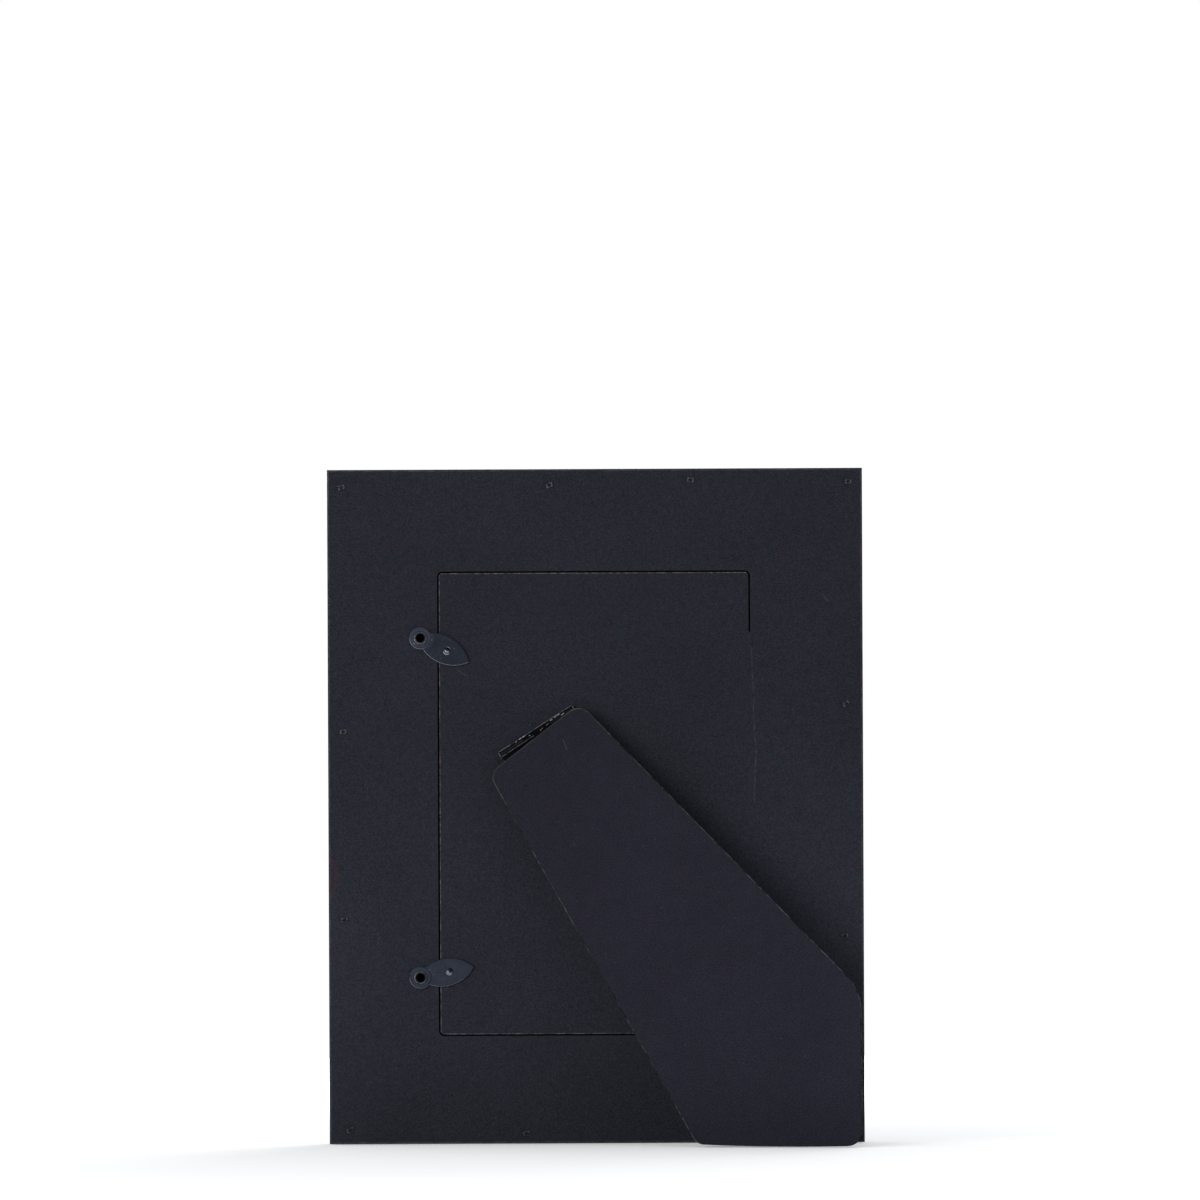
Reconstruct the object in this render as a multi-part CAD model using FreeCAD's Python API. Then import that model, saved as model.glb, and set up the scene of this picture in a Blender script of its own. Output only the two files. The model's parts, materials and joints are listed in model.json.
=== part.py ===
"""Easel back photo frame, standing upright on its open leg. Lengths are millimetres.

The frame is drawn upright first, seen from behind: u runs to the right, v up, and w out of the back,
from the outer face of the backing board. At the end the drawn frame is leaned back on its leg.
Row frame: +X to the right as seen from behind, the back faces -Y, +Z up, and the table is at z = 0.
"""
import FreeCAD, Part
import math
import os
from FreeCAD import Vector

# Whole frame
outer_width = 180.0
outer_height = 226.8

# Rails, as a section across the rail: inward from the outer edge, and forward from the rail's back
rail_width = 41.0
edge_thickness = 8.5
edge_round = 1.5
crown_setback = 18.0
crown_thickness = 12.0
face_width = 33.0
face_end_thickness = 9.6
quirk_depth = 0.9
bead_width = 3.0
sight_thickness = 6.4
cove_sag = 0.6

# Corner v-nails, driven into the rails' backs across each mitre
v_nail_leg = 4.5
v_nail_sheet = 0.6
v_nail_depth = 7.0
v_nail_spread = 50.0
v_nail_shares = (0.30, 0.62)

# What the rails hold
insert_width = 101.6
insert_height = 152.4
insert_thickness = 0.3
glass_margin = 0.9
glass_thickness = 2.0
card_thickness = 1.0
rabbet_clearance = 0.8
seat_clearance = 0.3
insert_gap = 0.05
packing_slack = 0.25

# Backing board, hatch and the sheet that faces both
board_thickness = 2.5
hatch_width = 104.1
hatch_height = 155.1
hatch_shift_right = -0.45
hatch_shift_up = 0.95
hatch_corner_radius = 1.2
slit_width = 0.6
side_slit_length = 20.0
facing_thickness = 0.25
facing_inset = 0.3

# Backing brads: places are shares of the frame's half width and of its height, with each head's turn
brad_head_length = 2.2
brad_head_width = 1.5
brad_head_height = 0.4
brad_shank_length = 1.1
brad_shank_width = 0.8
brad_depth_in_rail = 6.5
brad_point_length = 1.5
brads = (
    (-0.946, 0.974, 15.0), (-0.169, 0.976, 22.0), (0.359, 0.983, -3.0), (0.948, 0.980, -4.0),
    (0.937, 0.650, 30.0), (0.929, 0.306, 8.0), (-0.943, 0.612, 0.0), (-0.941, 0.333, 12.0),
    (-0.923, 0.021, 20.0), (-0.263, 0.015, 10.0), (0.383, 0.014, -12.0), (0.943, 0.018, 5.0),
)

# Turn buttons, from the pivot along the blade
button_sheet = 0.7
button_running_gap = 0.2
pivot_ring_radius = 3.8
ring_boss_radius = 3.3
ring_boss_height = 0.2
neck_half_width = 3.0
neck_fillet = 0.5
blade_length = 18.3
blade_half_width = 4.6
blade_widest = 9.2
blade_tip_radius = 0.4
button_edge_bevel = 0.15
dimple_place = 9.9
dimple_radius = 1.3
dimple_height = 0.45
upper_pivot_setback = 6.2
upper_pivot_drop = 21.7
upper_button_turn = -26.6
lower_pivot_setback = 6.6
lower_pivot_rise = 19.35
lower_button_turn = 11.1

# Eyelets, rolled over at both ends, that carry the turn buttons
eyelet_bore_radius = 1.3
eyelet_wall = 0.3
eyelet_flange_width = 0.75
eyelet_flange_height = 0.55
eyelet_rim_height = 0.15
eyelet_mouth_width = 0.15
eyelet_tail_width = 0.6
eyelet_tail_height = 0.5
eyelet_running_gap = 0.05
pocket_clearance = 0.4

# Easel hinge, along its axis and across it
hinge_right_of_hatch_centre = -19.15
hinge_above_hatch_centre = 24.05
hinge_angle = 32.6
hinge_length = 28.8
hinge_sheet = 0.6
centre_knuckle_length = 10.4
knuckle_side_gap = 0.15
pin_radius = 0.85
pin_clearance = 0.03
knuckle_lift = 0.1
pin_head_radius = 1.25
pin_head_height = 0.4
slot_clearance = 0.06
stop_clearance = 0.04
plate_length = 16.0
plate_corner_radius = 3.0
leg_plate_shoulder = 4.5
leg_opening_angle = 12.5

# Rivets of the hinge plates
rivet_radius = 0.9
rivet_head_radius = 1.8
rivet_crown_radius = 1.2
rivet_head_height = 0.4
rivet_tail_radius = 1.6
rivet_tail_height = 0.4
rivet_setback = 10.5
fixed_rivet_spacing = 18.0
leg_rivet_spacing = 9.0

# Easel leg, folded flat on the back
leg_thickness = 2.5
leg_lining_thickness = 0.2
leg_lining_setback = 1.3
leg_facing_thickness = 0.25
leg_sheet_inset = 0.35
leg_top_gap = 2.05
leg_top_skew = 5.0
leg_top_width = 38.5
leg_top_shift = -1.75
leg_left_angle = 60.0
leg_right_angle = 45.7
leg_side_inset = 2.15
leg_foot_inset = 2.8
leg_foot_crown = 0.5
leg_top_left_radius = 4.5
leg_top_right_radius = 5.0
leg_knee_radius = 16.0
leg_outer_toe_radius = 5.0
leg_inner_toe_radius = 4.0

# One overrun for all cuts
overrun = 1.0

# Sizes that follow from the driving ones
rabbet_opening_width = insert_width + 2 * (glass_margin + rabbet_clearance)
rabbet_opening_height = insert_height + 2 * (glass_margin + rabbet_clearance)
rabbet_depth = glass_thickness + insert_gap + insert_thickness + card_thickness + packing_slack
panel_middle = outer_height / 2
hatch_left = hatch_shift_right - hatch_width / 2
hatch_right = hatch_left + hatch_width
hatch_bottom = panel_middle + hatch_shift_up - hatch_height / 2
hatch_top = hatch_bottom + hatch_height
button_seat = facing_thickness + button_running_gap
button_top = button_seat + button_sheet
eyelet_radius = eyelet_bore_radius + eyelet_wall
knuckle_inner_radius = pin_radius + pin_clearance
knuckle_radius = knuckle_inner_radius + hinge_sheet
plate_drop = knuckle_radius + knuckle_lift
hinge_u = hatch_shift_right + hinge_right_of_hatch_centre
hinge_v = panel_middle + hatch_shift_up + hinge_above_hatch_centre
hinge_w = facing_thickness + plate_drop
leg_seat = hinge_w + plate_drop
leg_underside = leg_seat + leg_lining_thickness

PANEL_UP = Vector(0, 0, 1)
PANEL_OUT = Vector(0, -1, 0)


def at(u, v, w):
    """A point of the upright frame: u to the right, v up and w out of the back."""
    return Vector(u, -w, v)


def polygon(points):
    """A closed wire of straight edges."""
    return Part.makePolygon(list(points) + [points[0]])


def prism(wire, w_low, height):
    """A flat piece whose outline is drawn at w = 0."""
    face = Part.Face(wire)
    face.translate(PANEL_OUT * w_low)
    return face.extrude(PANEL_OUT * height)


def block(u_low, u_high, v_low, v_high, w_low, w_high):
    corners = ((u_low, v_low), (u_high, v_low), (u_high, v_high), (u_low, v_high))
    return prism(polygon([at(u, v, 0) for u, v in corners]), w_low, w_high - w_low)


def rod(u, v, w_low, w_high, radius):
    return Part.makeCylinder(radius, w_high - w_low, at(u, v, w_low), PANEL_OUT)


def turned(u, v, profile):
    """A closed profile, drawn at radius and w from the point u, v, turned about it."""
    face = Part.Face(profile)
    face.translate(at(u, v, 0))
    return face.revolve(at(u, v, 0), PANEL_OUT, 360)


def round_corners(solid, corners):
    """Rounds the edges that stand on the given (u, v, radius) corners of a flat piece."""
    for u, v, radius in corners:
        near = min(
            (edge for edge in solid.Edges if is_upright(edge)),
            key=lambda edge: math.hypot(edge.Vertexes[0].X - u, edge.Vertexes[0].Z - v),
        )
        solid = solid.makeFillet(radius, [near])
    return solid


def is_upright(edge):
    """True for a straight edge across a flat piece's thickness."""
    if len(edge.Vertexes) < 2:
        return False
    run = edge.Vertexes[1].Point - edge.Vertexes[0].Point
    return abs(run.y) > max(abs(run.x), abs(run.z))


def spin(shape, u, v, degrees):
    """Turns a piece anticlockwise, as seen from behind, and moves its zero to u, v."""
    shape.rotate(Vector(0, 0, 0), PANEL_OUT, degrees)
    shape.translate(at(u, v, 0))
    return shape


# Frame of four mitred rails

def rail_section(rabbet_width):
    """The moulding's section: a domed face, a quirk and bead, a cove to the sight edge, and the rabbet."""
    def point(inward, forward):
        return at(inward, 0, forward)

    bead_start = face_end_thickness - quirk_depth
    bead_radius = bead_width / 2
    bead_end = face_width + bead_width
    shoulder = edge_round * (1 - math.sqrt(0.5))
    cove_middle = (bead_end + rail_width) / 2
    cove_floor = (bead_start + sight_thickness) / 2 - cove_sag
    rabbet_wall = rail_width - rabbet_width
    edges = [
        Part.LineSegment(point(0, 0), point(0, edge_thickness - edge_round)),
        Part.Arc(
            point(0, edge_thickness - edge_round),
            point(shoulder, edge_thickness - shoulder),
            point(edge_round, edge_thickness),
        ),
        Part.Arc(
            point(edge_round, edge_thickness),
            point(crown_setback, crown_thickness),
            point(face_width, face_end_thickness),
        ),
        Part.LineSegment(point(face_width, face_end_thickness), point(face_width, bead_start)),
        Part.Arc(
            point(face_width, bead_start),
            point(face_width + bead_radius, bead_start + bead_radius),
            point(bead_end, bead_start),
        ),
        Part.Arc(
            point(bead_end, bead_start),
            point(cove_middle, cove_floor),
            point(rail_width, sight_thickness),
        ),
        Part.LineSegment(point(rail_width, sight_thickness), point(rail_width, rabbet_depth)),
        Part.LineSegment(point(rail_width, rabbet_depth), point(rabbet_wall, rabbet_depth)),
        Part.LineSegment(point(rabbet_wall, rabbet_depth), point(rabbet_wall, 0)),
        Part.LineSegment(point(rabbet_wall, 0), point(0, 0)),
    ]
    return Part.Wire([edge.toShape() for edge in edges])


def rail(length, rabbet_width, quarter_turns, reach):
    """One rail, made along the bottom of a zero centre and turned round to its side of the frame."""
    half = length / 2
    bar = Part.Face(rail_section(rabbet_width))
    # The section is drawn inward along u and forward along w, and set to run inward along v.
    bar.rotate(Vector(0, 0, 0), Vector(1, 0, 0), 180)
    bar.rotate(Vector(0, 0, 0), Vector(0, 1, 0), -90)
    bar.translate(Vector(-half, 0, 0))
    bar = bar.extrude(Vector(length, 0, 0))
    mitred = polygon([
        at(-half - overrun, -overrun, 0),
        at(half + overrun, -overrun, 0),
        at(half - rail_width - overrun, rail_width + overrun, 0),
        at(overrun + rail_width - half, rail_width + overrun, 0),
    ])
    bar = bar.common(prism(mitred, -crown_thickness - overrun, crown_thickness + 2 * overrun))
    bar.translate(at(0, -reach, -board_thickness))
    bar.rotate(Vector(0, 0, 0), Vector(0, 1, 0), 90 * quarter_turns)
    bar.translate(PANEL_UP * panel_middle)
    return bar


def v_nail(u, v, degrees):
    """A bent strip that ties both rails, its bend towards the frame's outer corner."""
    lean = math.radians(v_nail_spread)
    across = math.sin(lean)
    along = math.cos(lean)
    inside = v_nail_sheet / across
    outline = [
        at(v_nail_leg * along, -v_nail_leg * across, 0),
        at(0, 0, 0),
        at(v_nail_leg * along, v_nail_leg * across, 0),
        at(v_nail_leg * along + v_nail_sheet * across, v_nail_leg * across - v_nail_sheet * along, 0),
        at(inside, 0, 0),
        at(v_nail_leg * along + v_nail_sheet * across, v_nail_sheet * along - v_nail_leg * across, 0),
    ]
    nail = prism(polygon(outline), -board_thickness - v_nail_depth, v_nail_depth)
    return spin(nail, u, v, degrees)


def corner_v_nails():
    """Two nails in each corner, on the mitre line."""
    nails = []
    for side in (-1, 1):
        for end in (-1, 1):
            inward = math.degrees(math.atan2(-end, -side))
            for share in v_nail_shares:
                u = side * (outer_width / 2 - share * rail_width)
                v = panel_middle + end * (outer_height / 2 - share * rail_width)
                nails.append(v_nail(u, v, inward))
    return nails


def centred_pane(width, height, w_low, thickness):
    """A flat piece that stands in the rabbet, a small gap above its floor."""
    floor = panel_middle - rabbet_opening_height / 2 + seat_clearance
    return block(-width / 2, width / 2, floor, floor + height, w_low, w_low + thickness)


# Backing

def rounded_rectangle(left, right, bottom, top, radius):
    """The closed outline of an upright rectangle with round corners."""
    edges = []
    slack = radius * (1 - math.sqrt(0.5))
    corners = ((right, bottom, 1, -1), (right, top, 1, 1), (left, top, -1, 1), (left, bottom, -1, -1))
    ends = []
    for u, v, sideways, upward in corners:
        low = at(u, v - upward * radius, 0)
        level = at(u - sideways * radius, v, 0)
        middle = at(u - sideways * slack, v - upward * slack, 0)
        first, last = (level, low) if sideways * upward < 0 else (low, level)
        ends.append((first, middle, last))
    for index, (first, middle, last) in enumerate(ends):
        edges.append(Part.Arc(first, middle, last).toShape())
        edges.append(Part.LineSegment(last, ends[(index + 1) % len(ends)][0]).toShape())
    return Part.Wire(edges)


def hatch_outline(grown):
    return rounded_rectangle(
        hatch_left - grown, hatch_right + grown, hatch_bottom - grown, hatch_top + grown,
        hatch_corner_radius + grown,
    )


def brad_places():
    for across_share, up_share, turn in brads:
        yield across_share * outer_width / 2, up_share * outer_height, turn


def brad(u, v, turn, with_head):
    """A small flat-headed nail with a chisel point. Without its head it is also the hole's shape."""
    half_long = brad_shank_length / 2
    half_wide = brad_shank_width / 2
    tip = -board_thickness - brad_depth_in_rail
    shank = block(-half_long, half_long, -half_wide, half_wide, tip + brad_point_length, facing_thickness)
    side = polygon([
        at(-half_long, -half_wide, tip + brad_point_length),
        at(half_long, -half_wide, tip + brad_point_length),
        at(0, -half_wide, tip),
    ])
    nail = shank.fuse(Part.Face(side).extrude(PANEL_UP * brad_shank_width))
    if with_head:
        half_head = brad_head_length / 2
        half_head_width = brad_head_width / 2
        head = block(
            -half_head, half_head, -half_head_width, half_head_width,
            facing_thickness, facing_thickness + brad_head_height,
        )
        nail = nail.fuse(head).removeSplitter()
    return spin(nail, u, v, turn)


def brad_holes():
    return [brad(u, v, turn, False) for u, v, turn in brad_places()]


def pivot_places():
    """The turn buttons' eyelets: beside the hatch's left edge, near its upper and lower corner."""
    upper = (hatch_left - upper_pivot_setback, hatch_top - upper_pivot_drop)
    lower = (hatch_left - lower_pivot_setback, hatch_bottom + lower_pivot_rise)
    return upper, lower


def eyelet_holes():
    return [
        rod(u, v, -board_thickness - overrun, facing_thickness + overrun, eyelet_radius)
        for u, v in pivot_places()
    ]


def eyelet_pockets():
    """Shallow pockets in the rail's back that clear the eyelets' rolled tails."""
    radius = eyelet_radius + eyelet_tail_width + pocket_clearance
    depth = eyelet_tail_height + pocket_clearance
    return [rod(u, v, -board_thickness - depth, overrun - board_thickness, radius) for u, v in pivot_places()]


def backing_board():
    board = block(-outer_width / 2, outer_width / 2, 0, outer_height, -board_thickness, 0)
    opening = prism(hatch_outline(slit_width), -board_thickness - overrun, board_thickness + 2 * overrun)
    return board.cut([opening] + brad_holes() + eyelet_holes())


def hatch_board():
    board = prism(hatch_outline(0), -board_thickness, board_thickness)
    return board.cut(fixed_rivet_cuts())


def facing_sheet():
    """The sheet over board and hatch, with the slit that frees the hatch all round but for its hinge side."""
    half = outer_width / 2 - facing_inset
    sheet = block(-half, half, facing_inset, outer_height - facing_inset, 0, facing_thickness)
    low = -overrun
    height = facing_thickness + 2 * overrun
    slit = prism(hatch_outline(slit_width), low, height).cut(prism(hatch_outline(0), low, height))
    hinge_side = block(
        hatch_right - overrun, hatch_right + slit_width + overrun,
        hatch_bottom + hatch_corner_radius, hatch_top - side_slit_length,
        2 * low, 2 * height,
    )
    slit = slit.cut(hinge_side)
    return sheet.cut([slit] + brad_holes() + eyelet_holes() + fixed_rivet_cuts())


# Turn buttons

def blade_outline():
    """The button's outline, drawn along u: a round ring and a leaf-shaped blade."""
    neck = math.sqrt(pivot_ring_radius ** 2 - neck_half_width ** 2)
    upper_neck = at(neck, neck_half_width, 0)
    lower_neck = at(neck, -neck_half_width, 0)
    tip = at(blade_length, 0, 0)
    edges = [
        Part.Arc(upper_neck, at(-pivot_ring_radius, 0, 0), lower_neck),
        Part.Arc(lower_neck, at(blade_widest, -blade_half_width, 0), tip),
        Part.Arc(tip, at(blade_widest, blade_half_width, 0), upper_neck),
    ]
    return Part.Wire([edge.toShape() for edge in edges])


def dimple(u, w_base):
    """A round cap that rises from the blade, closed below its base."""
    sphere = (dimple_radius ** 2 + dimple_height ** 2) / (2 * dimple_height)
    haunch = math.sqrt(sphere ** 2 - (dimple_radius / 2) ** 2) - sphere + dimple_height
    base = at(0, 0, w_base)
    rim = at(dimple_radius, 0, w_base)
    crown = at(0, 0, w_base + dimple_height)
    lines = [
        Part.Arc(rim, at(dimple_radius / 2, 0, w_base + haunch), crown),
        Part.LineSegment(crown, base),
        Part.LineSegment(base, rim),
    ]
    return turned(u, 0, Part.Wire([line.toShape() for line in lines]))


def turn_button(u, v, turn):
    neck = math.sqrt(pivot_ring_radius ** 2 - neck_half_width ** 2)
    sheet = prism(blade_outline(), button_seat, button_sheet)
    sheet = round_corners(sheet, [
        (neck, neck_half_width, neck_fillet),
        (neck, -neck_half_width, neck_fillet),
        (blade_length, 0, blade_tip_radius),
    ])
    top_face = max(sheet.Faces, key=lambda face: -face.CenterOfMass.y)
    sheet = sheet.makeChamfer(button_edge_bevel, top_face.Edges)
    boss_foot = pivot_ring_radius - button_edge_bevel
    boss = Part.makeCone(boss_foot, ring_boss_radius, ring_boss_height, at(0, 0, button_top), PANEL_OUT)
    sheet = sheet.fuse([boss, dimple(dimple_place, button_top)])
    hollow_radius = dimple_radius - button_sheet / 2
    hollow = Part.makeCone(
        hollow_radius, hollow_radius / 2, dimple_height, at(dimple_place, 0, button_seat), PANEL_OUT,
    )
    hole = rod(0, 0, button_seat - overrun, button_top + overrun, eyelet_radius + eyelet_running_gap)
    return spin(sheet.cut([hollow, hole]), u, v, turn)


def eyelet(u, v):
    """A hollow rivet: rolled flange over the button's ring, barrel, and flared tail under the board."""
    flange_base = button_top + ring_boss_height + eyelet_running_gap
    flange_top = flange_base + eyelet_flange_height
    rim_top = flange_base + eyelet_rim_height
    flange_radius = eyelet_radius + eyelet_flange_width
    crest_radius = (eyelet_bore_radius + flange_radius) / 2
    mouth_radius = eyelet_bore_radius + eyelet_mouth_width
    tail_radius = eyelet_radius + eyelet_tail_width
    tail_end = -board_thickness - eyelet_tail_height
    section = polygon([
        at(eyelet_bore_radius, 0, -board_thickness),
        at(eyelet_bore_radius, 0, rim_top),
        at(mouth_radius, 0, flange_top),
        at(crest_radius, 0, flange_top),
        at(flange_radius, 0, rim_top),
        at(flange_radius, 0, flange_base),
        at(eyelet_radius, 0, flange_base),
        at(eyelet_radius, 0, -board_thickness),
        at(tail_radius, 0, tail_end),
        at(tail_radius - eyelet_wall, 0, tail_end),
    ])
    return turned(u, v, section)


# Easel hinge, drawn with its axis along u at a zero centre and the plates running down towards the foot

def to_hinge(shape):
    """Sets a piece drawn at the zero centre onto the hinge's place and angle."""
    shape.translate(PANEL_OUT * hinge_w)
    return spin(shape, hinge_u, hinge_v, hinge_angle)


def slot_edge():
    """How far from the axis a plate's slot begins: just clear of the other plate's knuckle."""
    return math.sqrt(knuckle_radius ** 2 - (plate_drop - hinge_sheet) ** 2) + slot_clearance


def lip_length():
    """The knuckle's squared lip ends where the other plate's slot edge stops it at the opening angle."""
    opening = math.radians(leg_opening_angle)
    meeting = (knuckle_radius - slot_edge() * math.sin(opening)) / math.cos(opening)
    return slot_edge() * math.cos(opening) - meeting * math.sin(opening) - stop_clearance


def folded_knuckle(start, end, shoulder):
    """A strip that rises a little from its plate, folds back round the pin and ends in a squared lip."""
    outer = knuckle_radius
    inner = knuckle_inner_radius
    sheet_top = hinge_sheet - plate_drop
    tail = -shoulder - overrun
    ramp = -slot_edge()
    lip = -lip_length()

    def point(up, out):
        return Vector(start, -out, up)

    edges = [
        Part.LineSegment(point(tail, -plate_drop), point(ramp, -plate_drop)),
        Part.LineSegment(point(ramp, -plate_drop), point(0, -outer)),
        Part.Arc(point(0, -outer), point(outer, 0), point(0, outer)),
        Part.LineSegment(point(0, outer), point(lip, outer)),
        Part.LineSegment(point(lip, outer), point(lip, inner)),
        Part.LineSegment(point(lip, inner), point(0, inner)),
        Part.Arc(point(0, inner), point(inner, 0), point(0, -inner)),
        Part.LineSegment(point(0, -inner), point(ramp, sheet_top)),
        Part.LineSegment(point(ramp, sheet_top), point(tail, sheet_top)),
        Part.LineSegment(point(tail, sheet_top), point(tail, -plate_drop)),
    ]
    wire = Part.Wire([edge.toShape() for edge in edges])
    return Part.Face(wire).extrude(Vector(end - start, 0, 0))


def rivet_places(spacing):
    return ((-spacing / 2, -rivet_setback), (spacing / 2, -rivet_setback))


def hinge_plate(spans, shoulder, spacing):
    """A plate that lies under the axis, with a folded knuckle on each span of its upper edge."""
    half = hinge_length / 2
    plate = block(-half, half, -plate_length, -shoulder, -plate_drop, hinge_sheet - plate_drop)
    plate = round_corners(plate, [
        (-half, -plate_length, plate_corner_radius),
        (half, -plate_length, plate_corner_radius),
    ])
    plate = plate.fuse([folded_knuckle(start, end, shoulder) for start, end in spans])
    holes = [
        rod(u, v, -plate_drop - overrun, overrun - plate_drop, rivet_radius)
        for u, v in rivet_places(spacing)
    ]
    return plate.cut(holes).removeSplitter()


def hatch_hinge_plate():
    half = hinge_length / 2
    inner = centre_knuckle_length / 2 + knuckle_side_gap
    return to_hinge(hinge_plate([(-half, -inner), (inner, half)], slot_edge(), fixed_rivet_spacing))


def leg_hinge_plate():
    """The same plate turned over, so that it lies under the leg, with one knuckle in the middle."""
    inner = centre_knuckle_length / 2
    plate = hinge_plate([(-inner, inner)], leg_plate_shoulder, leg_rivet_spacing)
    return to_hinge(plate.mirror(Vector(0, 0, 0), PANEL_OUT))


def hinge_pin():
    half = hinge_length / 2
    along = Vector(1, 0, 0)
    pin = Part.makeCylinder(pin_radius, hinge_length, Vector(-half, 0, 0), along)
    heads = [
        Part.makeCylinder(pin_head_radius, pin_head_height, Vector(start, 0, 0), along)
        for start in (-half - pin_head_height, half)
    ]
    return to_hinge(pin.fuse(heads).removeSplitter())


def rivet(w_head, w_tail, u, v):
    """A rivet whose pan head sits on w_head and whose tail is spread, flush, at w_tail."""
    out = 1 if w_head > w_tail else -1
    spread = w_tail + out * rivet_tail_height
    crown = w_head + out * rivet_head_height
    section = polygon([
        at(0, 0, crown),
        at(0, 0, w_tail),
        at(rivet_tail_radius, 0, w_tail),
        at(rivet_tail_radius, 0, spread),
        at(rivet_radius, 0, spread),
        at(rivet_radius, 0, w_head),
        at(rivet_head_radius, 0, w_head),
        at(rivet_crown_radius, 0, crown),
    ])
    return turned(u, v, section)


def rivet_cuts(w_head, w_tail, spacing):
    """The holes that rivets need, with a wider pocket for the spread tail."""
    cuts = []
    out = 1 if w_head > w_tail else -1
    for u, v in rivet_places(spacing):
        body = sorted((w_head + out * overrun, w_tail - out * overrun))
        pocket = sorted((w_tail - out * overrun, w_tail + out * rivet_tail_height))
        cuts.append(spin(rod(u, v, body[0], body[1], rivet_radius), hinge_u, hinge_v, hinge_angle))
        cuts.append(spin(rod(u, v, pocket[0], pocket[1], rivet_tail_radius), hinge_u, hinge_v, hinge_angle))
    return cuts


def rivet_row(w_head, w_tail, spacing):
    return [
        spin(rivet(w_head, w_tail, u, v), hinge_u, hinge_v, hinge_angle)
        for u, v in rivet_places(spacing)
    ]


def fixed_rivet_cuts():
    return rivet_cuts(facing_thickness, -board_thickness, fixed_rivet_spacing)


def hatch_rivets():
    return rivet_row(facing_thickness + hinge_sheet, -board_thickness, fixed_rivet_spacing)


def leg_rivet_cuts():
    return rivet_cuts(leg_seat, leg_underside + leg_thickness, leg_rivet_spacing)


def leg_rivets():
    return rivet_row(leg_seat - hinge_sheet, leg_underside + leg_thickness, leg_rivet_spacing)


# Easel leg

def heading(degrees):
    return math.cos(math.radians(degrees)), math.sin(math.radians(degrees))


def crossing(point, direction, other, other_direction):
    """Where two straight lines in the panel's plane cross."""
    across = direction[0] * other_direction[1] - direction[1] * other_direction[0]
    offset = (other[0] - point[0], other[1] - point[1])
    run = (offset[0] * other_direction[1] - offset[1] * other_direction[0]) / across
    return point[0] + run * direction[0], point[1] + run * direction[1]


def leg_corners(inset):
    """The leg's sharp corners: top left, top right, knee, outer toe and inner toe, moved in by the inset."""
    along = heading(hinge_angle)
    down = (along[1], -along[0])
    top = heading(hinge_angle + leg_top_skew)
    left = heading(-leg_left_angle)
    right = heading(-leg_right_angle)
    middle = (
        hinge_u + leg_top_shift * along[0] + leg_top_gap * down[0],
        hinge_v + leg_top_shift * along[1] + leg_top_gap * down[1],
    )
    half = leg_top_width / 2
    top_point = (middle[0] + inset * top[1], middle[1] - inset * top[0])
    left_point = (middle[0] - half * top[0] - inset * left[1], middle[1] - half * top[1] + inset * left[0])
    right_point = (middle[0] + half * top[0] + inset * right[1], middle[1] + half * top[1] - inset * right[0])
    side = (outer_width / 2 - leg_side_inset - inset, 0)
    toe_height = (0, leg_foot_inset + leg_foot_crown + inset)
    upright = (0, 1)
    level = (1, 0)
    return (
        crossing(left_point, left, top_point, top),
        crossing(right_point, right, top_point, top),
        crossing(right_point, right, side, upright),
        crossing(side, upright, toe_height, level),
        crossing(left_point, left, toe_height, level),
    )


def leg_plate(inset, w_low, thickness):
    """The leg's outline as a flat piece, with a slightly crowned foot and round corners."""
    top_left, top_right, knee, outer_toe, inner_toe = leg_corners(inset)
    sole = ((outer_toe[0] + inner_toe[0]) / 2, leg_foot_inset + inset)
    points = [at(u, v, 0) for u, v in (inner_toe, top_left, top_right, knee, outer_toe)]
    edges = [Part.LineSegment(first, last).toShape() for first, last in zip(points, points[1:])]
    edges.append(Part.Arc(points[-1], at(sole[0], sole[1], 0), points[0]).toShape())
    rounded = (
        (top_left, leg_top_left_radius),
        (top_right, leg_top_right_radius),
        (knee, leg_knee_radius),
        (outer_toe, leg_outer_toe_radius),
        (inner_toe, leg_inner_toe_radius),
    )
    plate = prism(Part.Wire(edges), w_low, thickness)
    return round_corners(plate, [(corner[0], corner[1], radius - inset) for corner, radius in rounded])


def leg_board():
    return leg_plate(0, leg_underside, leg_thickness).cut(leg_rivet_cuts())


def leg_lining():
    """The sheet on the leg's inner face. It stops short of the hatch plate's knuckles."""
    lining = leg_plate(leg_sheet_inset, leg_seat, leg_lining_thickness)
    w_low = leg_seat - overrun
    w_high = leg_underside + overrun
    trim = block(-leg_top_width, leg_top_width, -leg_lining_setback, leg_top_width, w_low, w_high)
    return lining.cut([spin(trim, hinge_u, hinge_v, hinge_angle)] + leg_rivet_cuts())


def leg_facing():
    return leg_plate(leg_sheet_inset, leg_underside + leg_thickness, leg_facing_thickness)


def open_leg(shape):
    """Swings a piece of the leg from folded flat to its stop."""
    along = Vector(math.cos(math.radians(hinge_angle)), 0, math.sin(math.radians(hinge_angle)))
    shape.rotate(at(hinge_u, hinge_v, hinge_w), along, -leg_opening_angle)
    return shape


def opened(u, v, w):
    """The v and w of a point of the leg once it is open."""
    along = heading(hinge_angle)
    run = (u - hinge_u) * along[0] + (v - hinge_v) * along[1]
    down = (u - hinge_u) * along[1] - (v - hinge_v) * along[0]
    lift = w - hinge_w
    turn = heading(leg_opening_angle)
    reach = down * turn[0] - lift * turn[1]
    return hinge_v + run * along[1] - reach * along[0], hinge_w + down * turn[1] + lift * turn[0]


def standing_lean():
    """The lean at which the open leg's foot and the frame's lower back edge touch the same table."""
    corners = leg_corners(0)
    start, end = corners[4][0], corners[3][0]
    samples = 80
    leans = []
    for index in range(samples + 1):
        across = index / samples
        crown = leg_foot_crown * (2 * across - 1) ** 2
        for w in (leg_underside, leg_underside + leg_thickness):
            v_open, w_open = opened(start + across * (end - start), leg_foot_inset + crown, w)
            leans.append(math.degrees(math.atan2(v_open, w_open)))
    return min(leans)


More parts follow.
